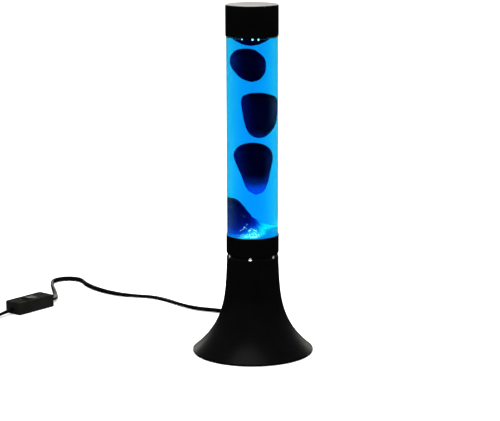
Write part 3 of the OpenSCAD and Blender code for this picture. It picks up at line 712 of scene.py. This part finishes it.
# ---------------------------------------------------------------- wax


def drop(name, rows, node, glow):
    """A drop of wax from its outline, rows of (height, left, right) in mm from the top down, made round."""
    rings, around, flatter = 44, 72, 0.95
    curve = smooth_path([(left, right, z) for z, left, right in rows], 0.3)
    last = len(curve) - 1
    points = []
    for i in range(rings + 1):
        spot = (0.5 - 0.5 * math.cos(math.pi * i / rings)) * last
        k = min(int(spot), last - 1)
        left, right, z = curve[k].lerp(curve[k + 1], spot - k)
        middle, half = (left + right) / 2, max((right - left) / 2, 0.0)
        for n in range(around):
            a = 2 * math.pi * n / around
            points.append(((middle + half * math.cos(a)) * MM, half * flatter * math.sin(a) * MM, z * MM))
    mesh = joined(name, [(points, bands(rings + 1, around))])
    piece = new_object(name, mesh, "vessel", [node])
    piece.data.materials.append(wax_material(name, *glow))
    return piece


UPPER_DROP = [
    (351.4, -5.5, -5.5), (349.8, -12.3, 1.8), (346.5, -16, 5.7), (341, -18.6, 10), (335, -19, 11.6),
    (329, -17.5, 11.7), (323.5, -14.3, 10.8), (318, -9.7, 7.9), (315, -5, 4.5), (313.5, 0, 0),
]
MIDDLE_DROP = [
    (301.6, 4.2, 4.2), (300.4, -3, 11.3), (298.6, -6.4, 15.5), (296.3, -8.5, 19.5), (292, -9.5, 22),
    (284, -8.9, 22.5), (274, -7.8, 21.8), (266, -6.5, 20.8), (259.5, -4.8, 18), (254.8, -2.5, 14.9),
    (251.3, 1, 11), (249.6, 6, 6),
]
LOWER_DROP = [
    (244.9, -0.2, -0.2), (243.6, -6, 6.2), (241.5, -9.9, 10.7), (238, -13.4, 14.2), (232, -15.8, 16.8),
    (226, -15.6, 17.5), (218, -13.2, 16.4), (209, -10.2, 15), (200, -7.6, 13.6), (194, -6, 12),
    (189.5, -3.6, 10.2), (186.3, 0.2, 6.8), (184.6, 3.3, 3.3),
]
# The lens that floats at the surface: middle, radius at the surface and depth
LENS_X, LENS_R, LENS_DEPTH = -0.0008, 0.0185, 0.010

# Height of the mound over x, in mm, from the left wall to the right wall
MOUND = [
    (-27.2, 180.2), (-20, 180.3), (-15, 179.6), (-11, 177), (-7.5, 172), (-3.8, 164.6), (0, 157.6), (4, 152),
    (8, 148.2), (12, 145.2), (18, 142.6), (27.2, 141.2),
]
MOUND_FOOT = 140.5
MOUND_END = MOUND[-1][0]
# How much the mound falls from the middle to the front and back, as a share of its height over the foot
MOUND_FALL = 0.22
# Gap to the glass all round, and what is added at the front, mm
MOUND_GAP = 0.1
MOUND_FRONT_GAP = 0.4


def lens():
    """The wax that has gathered under the surface."""
    top = LIQUID_TOP - 0.0002
    outline = [(0, top - LENS_DEPTH)]
    outline += [(LENS_R * i / 24, top - LENS_DEPTH * (1 - (i / 24) ** 2)) for i in range(1, 24)]
    outline += [(LENS_R - 0.0001, top - 0.0003), (LENS_R - 0.0006, top), (LENS_R / 2, top), (0, top)]
    mesh = joined("wax_lens", [lathe(outline, 96, (LENS_X, 0, 0))])
    piece = new_object("wax_lens", mesh, "vessel", ["wax_top_dome"])
    mesh.materials.append(wax_material("wax_lens", 300, 301, 0.0))
    return piece


def mound_height(x, y):
    """Height of the mound at a place in the bottle, mm."""
    for (x0, z0), (x1, z1) in zip(MOUND, MOUND[1:]):
        if x <= x1:
            t = (x - x0) / (x1 - x0)
            eased = t * t * (3 - 2 * t)
            z = z0 + (z1 - z0) * (0.35 * eased + 0.65 * t)
            break
    else:
        z = MOUND[-1][1]
    waves = 0.5 * math.sin(0.31 * x + 0.23 * y + 1) + 0.35 * math.sin(0.5 * y - 0.17 * x)
    return MOUND_FOOT + (z - MOUND_FOOT) * (1 - MOUND_FALL * (y / MOUND_END) ** 2) + waves


def mound():
    """The wax that still lies on the bottle's floor, high at the left wall."""
    r_glass = (GLASS_R - GLASS_WALL) / MM
    low = LIQUID_LOW / MM + 0.15
    around, rings = 128, 26
    points = []
    outline = [(k / rings, None) for k in range(1, rings + 1)]
    outline += [(1, 0.75), (1, 0.5), (1, 0.25), (1, 0.04), (0.98, 0.01), (0.92, 0)]
    points.append((0, 0, mound_height(0, 0) * MM))
    for reach, share in outline:
        for n in range(around):
            a = 2 * math.pi * n / around
            r = reach * (r_glass - MOUND_GAP - MOUND_FRONT_GAP * max(0.0, -math.sin(a)))
            x, y = r * math.cos(a), r * math.sin(a)
            top = mound_height(x, y)
            points.append((x * MM, y * MM, (top if share is None else low + (top - low) * share) * MM))
    faces = [(0, 1 + n, 1 + (n + 1) % around) for n in range(around)]
    faces += bands(len(outline), around, 1)
    last = 1 + (len(outline) - 1) * around
    faces.append(tuple(last + n for n in range(around)))
    mesh = joined("wax_on_floor", [(points, faces)])
    piece = new_object("wax_on_floor", mesh, "vessel", ["wax_mound"])
    mesh.materials.append(wax_skin("wax_on_floor", MOUND_GLOW, MOUND_GLOW_TILT, True))
    return piece


def bead(at, r):
    """Points and faces of a small ball, its place and radius in mm."""
    shape = bmesh.new()
    bmesh.ops.create_icosphere(shape, subdivisions=2, radius=r * MM)
    points = [v.co + Vector(at) * MM for v in shape.verts]
    faces = [tuple(v.index for v in f.verts) for f in shape.faces]
    shape.free()
    return points, faces


# Bubbles seen one by one, each bright with a painted glint: place and radius in mm
BUBBLES = (
    ((-10.8, -24.2, 363.2), 0.55), ((0.5, -26, 363), 0.9), ((6.9, -25.1, 362.9), 0.85),
    ((-8.5, -25.2, 163.5), 0.3), ((-11.5, -24, 165), 0.25), ((-9, -25.2, 151), 0.45),
    ((-6.2, -26, 154.5), 0.3),
)
# The fine ones, strewn over the mound's foot just inside the glass. Angles are degrees about the lamp
FINE_SEED = 7
FINE_COUNT = 90
FINE_OUT = 26.6
FINE_FOOT = 139.5
FINE_RISE = 11
FINE_MIDDLE_ANGLE, FINE_ANGLE_SPREAD = -94, 13
FINE_SMALLEST, FINE_LARGEST = 0.16, 0.42


def bubbles():
    """Small bubbles at the foot of the mound and along the surface. Their brightness is painted: they glow by
    their own emission, as glints of the bulb's light.
    """
    draw = random.Random(FINE_SEED)
    parts = [bead(at, r) for at, r in BUBBLES]
    for _ in range(FINE_COUNT):
        a = math.radians(draw.gauss(FINE_MIDDLE_ANGLE, FINE_ANGLE_SPREAD))
        z = FINE_FOOT + FINE_RISE * draw.random() ** 2
        r = draw.uniform(FINE_SMALLEST, FINE_LARGEST)
        parts.append(bead((FINE_OUT * math.cos(a), FINE_OUT * math.sin(a), z), r))
    return paint(new_object("bubbles", joined("bubbles", parts), "vessel"), "bubble")


def wire_ring():
    """Spring wire wound in a helix, its ends joined to a ring, on the bottle's floor."""
    low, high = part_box("heat_coil")
    envelope = (high.z - low.z) / 2
    ring, wire, turns, steps = high.x - envelope, 0.00055, 38, 14
    middle = (high.z + low.z) / 2
    path = []
    for i in range(turns * steps):
        a = 2 * math.pi * i / (turns * steps)
        b = 2 * math.pi * i / steps
        r = ring + (envelope - wire) * math.cos(b)
        path.append(Vector((r * math.cos(a), r * math.sin(a), middle + (envelope - wire) * math.sin(b))))
    mesh = joined("spring_wire_ring", [sweep(path, circle(wire, 6), closed_path=True)])
    return made_of("spring_wire_ring", mesh, "vessel", "coil_wire", ["heat_coil"])


def crown():
    """Crown closure with its ring of flutes."""
    teeth, segments = 21, 168
    top = 391
    rows = [
        (0, 0, 0), (7, 0, 0), (12.2, 0, 0), (13.5, -0.4, 0), (14.5, -1.6, 0.15), (15.2, -3.6, 0.35),
        (15.55, -5.9, 0.4), (15.2, -6, 0.4), (14.8, -3.8, 0.3), (13.9, -1.8, 0.1), (13.1, -0.9, 0),
        (7, -0.4, 0), (0, -0.4, 0),
    ]
    points = []
    for r, z, flute in rows:
        for k in range(segments):
            a = 2 * math.pi * k / segments
            wide = r + flute * math.cos(teeth * a)
            points.append((wide * math.cos(a) * MM, wide * math.sin(a) * MM, (top + z) * MM))
    mesh = joined("crown_closure", [(points, bands(len(rows), segments))])
    return made_of("crown_closure", mesh, "vessel", "crown_metal", ["neck_closure"])


# ---------------------------------------------------------------- flex, switch, coil and plug

# The flex's routes as in the frame: x, y, z in mm, and how far its wide side is turned up, in degrees
LAMP_ROUTE = [
    (-12, 84, 12, 0), (-12, 93, 10.8, 0), (-12, 103, 8.1, 0), (-12.5, 114, 5, 0), (-14, 125, 3.1, 5),
    (-17, 137, 2.4, 15), (-22, 148, 2.6, 28), (-29.5, 157.5, 2.8, 38), (-39.5, 164, 3.1, 46),
    (-51, 168.5, 3.2, 50), (-66, 175, 3.1, 46), (-79, 185.5, 2.8, 36), (-92, 200, 2.5, 20),
    (-105, 216, 2.2, 6), (-118, 229.5, 2.1, 2), (-131, 238, 2.3, 10), (-145, 242, 2.4, 14),
    (-158, 244.5, 2.7, 32), (-171, 249, 3, 44), (-184, 257, 3.3, 60), (-196, 267.5, 3.4, 75),
    (-206, 279.5, 3.4, 84), (-214.5, 292.5, 3.4, 88), (-221, 305.5, 3.3, 90), (-224.6, 315.6, 3.3, 90),
    (-229.4, 324.4, 3.3, 90), (-236.6, 329.8, 3.3, 90), (-245.2, 331.7, 3.3, 90),
    (-253.9, 329.8, 3.3, 90), (-260.9, 324, 3.3, 90), (-264.6, 316, 3.3, 90), (-265, 306.5, 3.3, 90),
    (-262, 287, 3.4, 84), (-257, 261, 3.3, 56), (-253.6, 241, 2.9, 28), (-252.5, 231.5, 3.5, 12),
    (-252.7, 223.8, 4.3, 4), (-254.7, 217.2, 5, 0), (-258.3, 211.8, 5.5, 0), (-262.6, 206.7, 5.5, 0),
]
PLUG_ROUTE = [
    (-297.4, 165.3, 5.5, 0), (-302, 159.8, 5.5, 0), (-307.6, 152.2, 4.7, 14), (-313, 144.2, 3.9, 32),
    (-318.5, 135.9, 3.6, 52), (-324, 127.4, 3.6, 70), (-329.5, 118.9, 3.8, 84), (-335.3, 109.9, 4, 90),
]
TAIL_ROUTE = [
    (-335.3, 109.9, 10, 90), (-339.3, 103.9, 9.7, 76), (-342.8, 97.5, 9, 54), (-345.1, 91, 8, 28),
    (-346, 85, 7.2, 8), (-346, 76, 6.9, 0),
]
INNER_ROUTE = [
    (-12, 70, 12, 0), (-12, 47, 12, 0), (-12, 44.5, 11.4, 0), (-12, 42, 9.9, 0), (-12, 39.5, 7.5, 0),
    (-12, 37, 5.8, 0), (-12, 34.5, 4.9, 0), (-12, 30, 4.8, 0), (-12, 25.5, 4.8, 0),
]
COIL_AT = (-364, 130)
COIL_START = math.radians(-35)
COIL_LAYER = 3
COIL_RADII = (34.9, 20.1)
COIL_HEIGHTS = (3.95, 10.05)


def coil_route():
    """Three turns inwards on the table, then three outwards on top of them, clear of each other."""
    made = []
    per_turn = 30
    for i in range(1, 2 * COIL_LAYER * per_turn):
        turns = i / per_turn
        inward = min(turns, 2 * COIL_LAYER - turns) / COIL_LAYER
        r = COIL_RADII[0] + (COIL_RADII[1] - COIL_RADII[0]) * inward
        climb = min(1.0, max(0.0, (turns - COIL_LAYER + 0.3) / 0.6))
        climb = climb * climb * (3 - 2 * climb)
        a = COIL_START - 2 * math.pi * turns
        made.append((COIL_AT[0] + r * math.cos(a), COIL_AT[1] + r * math.sin(a),
                     COIL_HEIGHTS[0] + (COIL_HEIGHTS[1] - COIL_HEIGHTS[0]) * climb, 90))
    return made


def twin_section(lobe=0.0019, apart=0.0012, steps=8):
    """The flex's section: two round cores side by side, with a waist between them."""
    limit = math.acos(-apart / lobe)
    turns = [-limit + 2 * limit * i / steps for i in range(steps)]
    right = [(apart + lobe * math.cos(a), lobe * math.sin(a)) for a in turns]
    return right + [(-u, -v) for u, v in right]


def flex(name, points, replaced):
    """A piece of flex along a route, and the line that it follows."""
    rows = smooth_path([(x * MM, y * MM, z * MM, turned * 1e-6) for x, y, z, turned in points], 0.0025)
    line = [p.to_3d() for p in rows]
    mesh = joined(name, [sweep(line, twin_section(), [math.radians(p.w * 1e6) for p in rows])])
    return made_of(name, mesh, "base", "flex_pvc", replaced), line


def lamp_flex():
    piece, line = flex("flex_to_switch", LAMP_ROUTE, ["flex_lamp_side"])
    relief = strain_relief()


def plug_flex():
    points = PLUG_ROUTE + coil_route() + TAIL_ROUTE
    piece, line = flex("flex_to_plug", points, ["flex_plug_side", "flex_coil", "flex_plug_tail"])
    pieces = [plug_body(), ties(), frame["nodes"]["plug_pins"], frame["nodes"]["plug_pin_sleeves"]]


def strain_relief():
    """Tapered, ribbed sleeve where the flex leaves the base."""
    low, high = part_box("cord_strain_relief")
    outline = [(0, 0), (5.6, 0), (6, 0.4), (6, 2), (5.7, 2.4), (4.6, 2.4), (4.6, 17), (5.6, 17.3)]
    outline += [(5.8, 17.6), (5.8, 18.7), (5.5, 19.1), (4.7, 19.5)]
    for i in range(6):
        start, r = 20.2 + 2.7 * i, 5 - 0.14 * i
        outline += [(r, start), (r, start + 1.3), (r - 0.6, start + 1.5), (r - 0.6, start + 2.3)]
    outline += [(4.1, 36.4), (3.9, 37), (0, 37)]
    aim = Matrix.Rotation(-math.pi / 2, 4, "X")
    at = ((low.x + high.x) / 2, low.y, (low.z + high.z) / 2)
    mesh = sharpen(joined("strain_relief_sleeve", [lathe(in_metres(outline), 48, at, aim)]), 35)
    return made_of("strain_relief_sleeve", mesh, "base", "relief_rubber", ["cord_strain_relief"])


def plug_body():
    """Flat two-pin plug with grip grooves, and a ribbed tail round the flex."""
    low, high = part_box("plug_body")
    x, z = (low.x + high.x) / 2, (low.z + high.z) / 2
    stations = [(21, 16.6, 5.8), (21.3, 17.2, 6.4), (22, 17.6, 6.8), (30, 17.6, 6.8)]
    for start in (31, 33.6, 36.2):
        wide = 17.6 - 0.08 * (start - 31) ** 1.6
        stations += [(start, wide, 6.8), (start + 0.5, wide - 0.7, 6.2), (start + 1.4, wide - 0.8, 6.2),
                     (start + 1.9, wide - 0.2, 6.7)]
    stations += [(41, 14.2, 6.4), (45, 10.4, 5.9), (49, 7, 5.4), (52, 5.5, 5.1), (55.5, 4.9, 4.9)]
    stations += [(57, 4.3, 4.3)]
    for i in range(6):
        start, r = 57.6 + 3.4 * i, 4.25 - 0.14 * i
        low_r = r - 0.6
        stations += [(start, r, r), (start + 1.7, r, r), (start + 2, low_r, low_r), (start + 3, low_r, low_r)]
    stations += [(78.6, 3.5, 3.5), (79, 3.2, 3.2)]
    around = 40
    points = []
    for y, wide, tall in stations:
        for k in range(around):
            a = 2 * math.pi * (k + 0.5) / around
            side = math.copysign(max(wide - tall, 0), math.cos(a))
            points.append((x + (side + tall * math.cos(a)) * MM, y * MM, z + tall * math.sin(a) * MM))
    faces = bands(len(stations), around)
    faces += [tuple(range(around)), tuple(range((len(stations) - 1) * around, len(stations) * around))]
    mesh = sharpen(joined("plug_moulding", [(points, faces)]), 35)
    return made_of("plug_moulding", mesh, "base", "plug_plastic", ["plug_body"])


def ties():
    """Two twist ties round the coil's bundle, with their twisted ends."""
    inner, outer, low, high, corner, half, thick = 17.9, 37.1, 0.5, 13.5, 2.2, 2.4, 0.3
    parts = []
    for angle in (100, 220):
        a = math.radians(angle)
        out, along = Vector((math.cos(a), math.sin(a), 0)), Vector((-math.sin(a), math.cos(a), 0))
        middle = Vector((*COIL_AT, 0))
        corners = ((outer, high, 0), (inner, high, 90), (inner, low, 180), (outer, low, 270))
        points = []
        for r, z, start in corners:
            cr = r - corner if r == outer else r + corner
            cz = z - corner if z == high else z + corner
            for turn in range(start, start + 91, 18):
                for reach, width in ((corner + thick, -half), (corner + thick, half), (corner - thick, half),
                                     (corner - thick, -half)):
                    u = cr + reach * math.cos(math.radians(turn))
                    v = cz + reach * math.sin(math.radians(turn))
                    points.append((middle + out * u + along * width + Vector((0, 0, v))) * MM)
        parts.append((points, bands(len(points) // 4, 4, wrap=True)))
        path = [(middle + out * (31 + 0.5 * i) + along * 0.8 * math.sin(i / 6)
                 + Vector((0, 0, 14.6 - 0.012 * max(0, i - 12) ** 1.8))) * MM for i in range(24)]
        flat = [(-0.0012, -0.0003), (0.0012, -0.0003), (0.0012, 0.0003), (-0.0012, 0.0003)]
        parts.append(sweep(path, flat, [0.45 * i for i in range(24)]))
    mesh = sharpen(joined("twist_ties", parts), 40)
    return made_of("twist_ties", mesh, "base", "tie_plastic", ["coil_ties"])


def soften(name, width):
    """Rounds the edges of a CAD node."""
    bevel = frame["nodes"][name].modifiers.new("soft edges", "BEVEL")
    bevel.width = width
    bevel.segments = 2
    bevel.limit_method = "ANGLE"
    bevel.angle_limit = math.radians(40)
    bevel.harden_normals = False


# ---------------------------------------------------------------- floor, world and lights


FLOOR_HALF = 6.0


def floor():
    """A white table without end, not seen in the lamp's gloss."""
    corners = [(x * FLOOR_HALF, y * FLOOR_HALF, 0) for x, y in ((-1, -1), (1, -1), (1, 1), (-1, 1))]
    mesh = mesh_from("floor", corners, [(0, 1, 2, 3)])
    piece = bpy.data.objects.new("floor", mesh)
    bpy.context.scene.collection.objects.link(piece)
    made, nodes, links, shader, _ = material("floor")
    two_tone(nodes, links, shader, noise(nodes, links, 3), (0.93, 0.93, 0.93), (0.95, 0.95, 0.95))
    shader.inputs["Roughness"].default_value = 0.9
    shader.inputs["Specular IOR Level"].default_value = 0.1
    mesh.materials.append(made)
    piece.visible_glossy = False


DIFFUSE_LIGHT = 2.1
# What a glossy surface sees of the studio: sine of the height above the horizon, and brightness
ROOM_REFLECTION = ((-1, 0.01), (0, 0.01), (0.2, 0.25), (0.5, 0.26), (1, 0.12))
BACK_WALL_REFLECTION = ((-1, 0), (0.05, 0), (0.11, 4.5), (0.30, 4.5), (0.42, 0), (1, 0))
# Where the back wall takes over from the room, as the Y part of the direction
BACK_WALL_EDGE = (0.82, 0.93)
SEEN_WHITE = 1.2


def background(nodes, strength):
    made = nodes.new("ShaderNodeBackground")
    made.inputs["Color"].default_value = (1, 1, 1, 1)
    made.inputs["Strength"].default_value = strength
    return made


def sky_ramp(nodes, links, height, stops, tone):
    """Background whose brightness follows the height above the horizon."""
    highest = max(strength for _, strength in stops)
    places = [((sine + 1) / 2, [strength / highest * c for c in tone]) for sine, strength in stops]
    made = background(nodes, highest)
    links.new(colour_ramp(nodes, links, share_of(nodes, links, height, -1, 1), places), made.inputs["Color"])
    return made


def world():
    """A white studio, even as a light and to the eye.

    Reflections see a dim room with a bright wall at the back.
    """
    made = bpy.data.worlds.new("studio")
    bpy.context.scene.world = made
    made.use_nodes = True
    nodes, links = made.node_tree.nodes, made.node_tree.links
    nodes.clear()
    out = nodes.new("ShaderNodeOutputWorld")
    rays = nodes.new("ShaderNodeLightPath")
    where = nodes.new("ShaderNodeTexCoord")
    split = nodes.new("ShaderNodeSeparateXYZ")
    links.new(where.outputs["Generated"], split.inputs["Vector"])
    room = sky_ramp(nodes, links, split.outputs["Z"], ROOM_REFLECTION, (1, 1, 1))
    wall = sky_ramp(nodes, links, split.outputs["Z"], BACK_WALL_REFLECTION, (1, 0.97, 0.9))
    backwards = nodes.new("ShaderNodeMapRange")
    backwards.interpolation_type = "SMOOTHSTEP"
    backwards.inputs["From Min"].default_value = BACK_WALL_EDGE[0]
    backwards.inputs["From Max"].default_value = BACK_WALL_EDGE[1]
    links.new(split.outputs["Y"], backwards.inputs["Value"])
    mirrored, reflected, seen = (nodes.new("ShaderNodeMixShader") for _ in range(3))
    links.new(backwards.outputs["Result"], mirrored.inputs["Fac"])
    links.new(room.outputs["Background"], mirrored.inputs[1])
    links.new(wall.outputs["Background"], mirrored.inputs[2])
    links.new(rays.outputs["Is Glossy Ray"], reflected.inputs["Fac"])
    links.new(background(nodes, DIFFUSE_LIGHT).outputs["Background"], reflected.inputs[1])
    links.new(mirrored.outputs["Shader"], reflected.inputs[2])
    either = nodes.new("ShaderNodeMath")
    either.operation = "MAXIMUM"
    links.new(rays.outputs["Is Camera Ray"], either.inputs[0])
    links.new(rays.outputs["Is Transmission Ray"], either.inputs[1])
    links.new(either.outputs["Value"], seen.inputs["Fac"])
    links.new(reflected.outputs["Shader"], seen.inputs[1])
    links.new(background(nodes, SEEN_WHITE).outputs["Background"], seen.inputs[2])
    links.new(seen.outputs["Shader"], out.inputs["Surface"])


def area_light(name, at, aim, size, power):
    data = bpy.data.lights.new(name, "AREA")
    data.shape = "DISK"
    data.size = size
    data.energy = power
    lamp = bpy.data.objects.new(name, data)
    bpy.context.scene.collection.objects.link(lamp)
    lamp.location = at
    lamp.rotation_euler = (Vector(aim) - Vector(at)).to_track_quat("-Z", "Y").to_euler()


# ---------------------------------------------------------------- build

for node in frame["nodes"].values():
    slot = next(p["material_slot"] for p in frame["record"]["subparts"] if p["node"] == node.name)
    paint(node, slot)
for name, width in (
    ("switch_lower_housing", 0.0004), ("switch_upper_housing", 0.0004), ("switch_rocker", 0.0004),
    ("plug_pins", 0.0003), ("tube_nuts", 0.0003), ("cord_clamp", 0.0003),
):
    soften(name, width)

lamp_flex()
plug_flex()
flex("flex_in_base", INNER_ROUTE, ["flex_inner"])
base_shell()
cap_shell()
glass_bottle()
liquid_body()
drop("wax_drop_upper", UPPER_DROP, "wax_upper", (300, 301, 0.0))
drop("wax_drop_middle", MIDDLE_DROP, "wax_middle", (249, 262, 0.12))
drop("wax_drop_lower", LOWER_DROP, "wax_lower", (184, 208, 1.0))
lens()
mound()
bubbles()
wire_ring()
crown()
floor()
world()
area_light("top_softbox", (-0.3, -0.4, 2.6), (0, 0, 0.1), 1.8, 26)
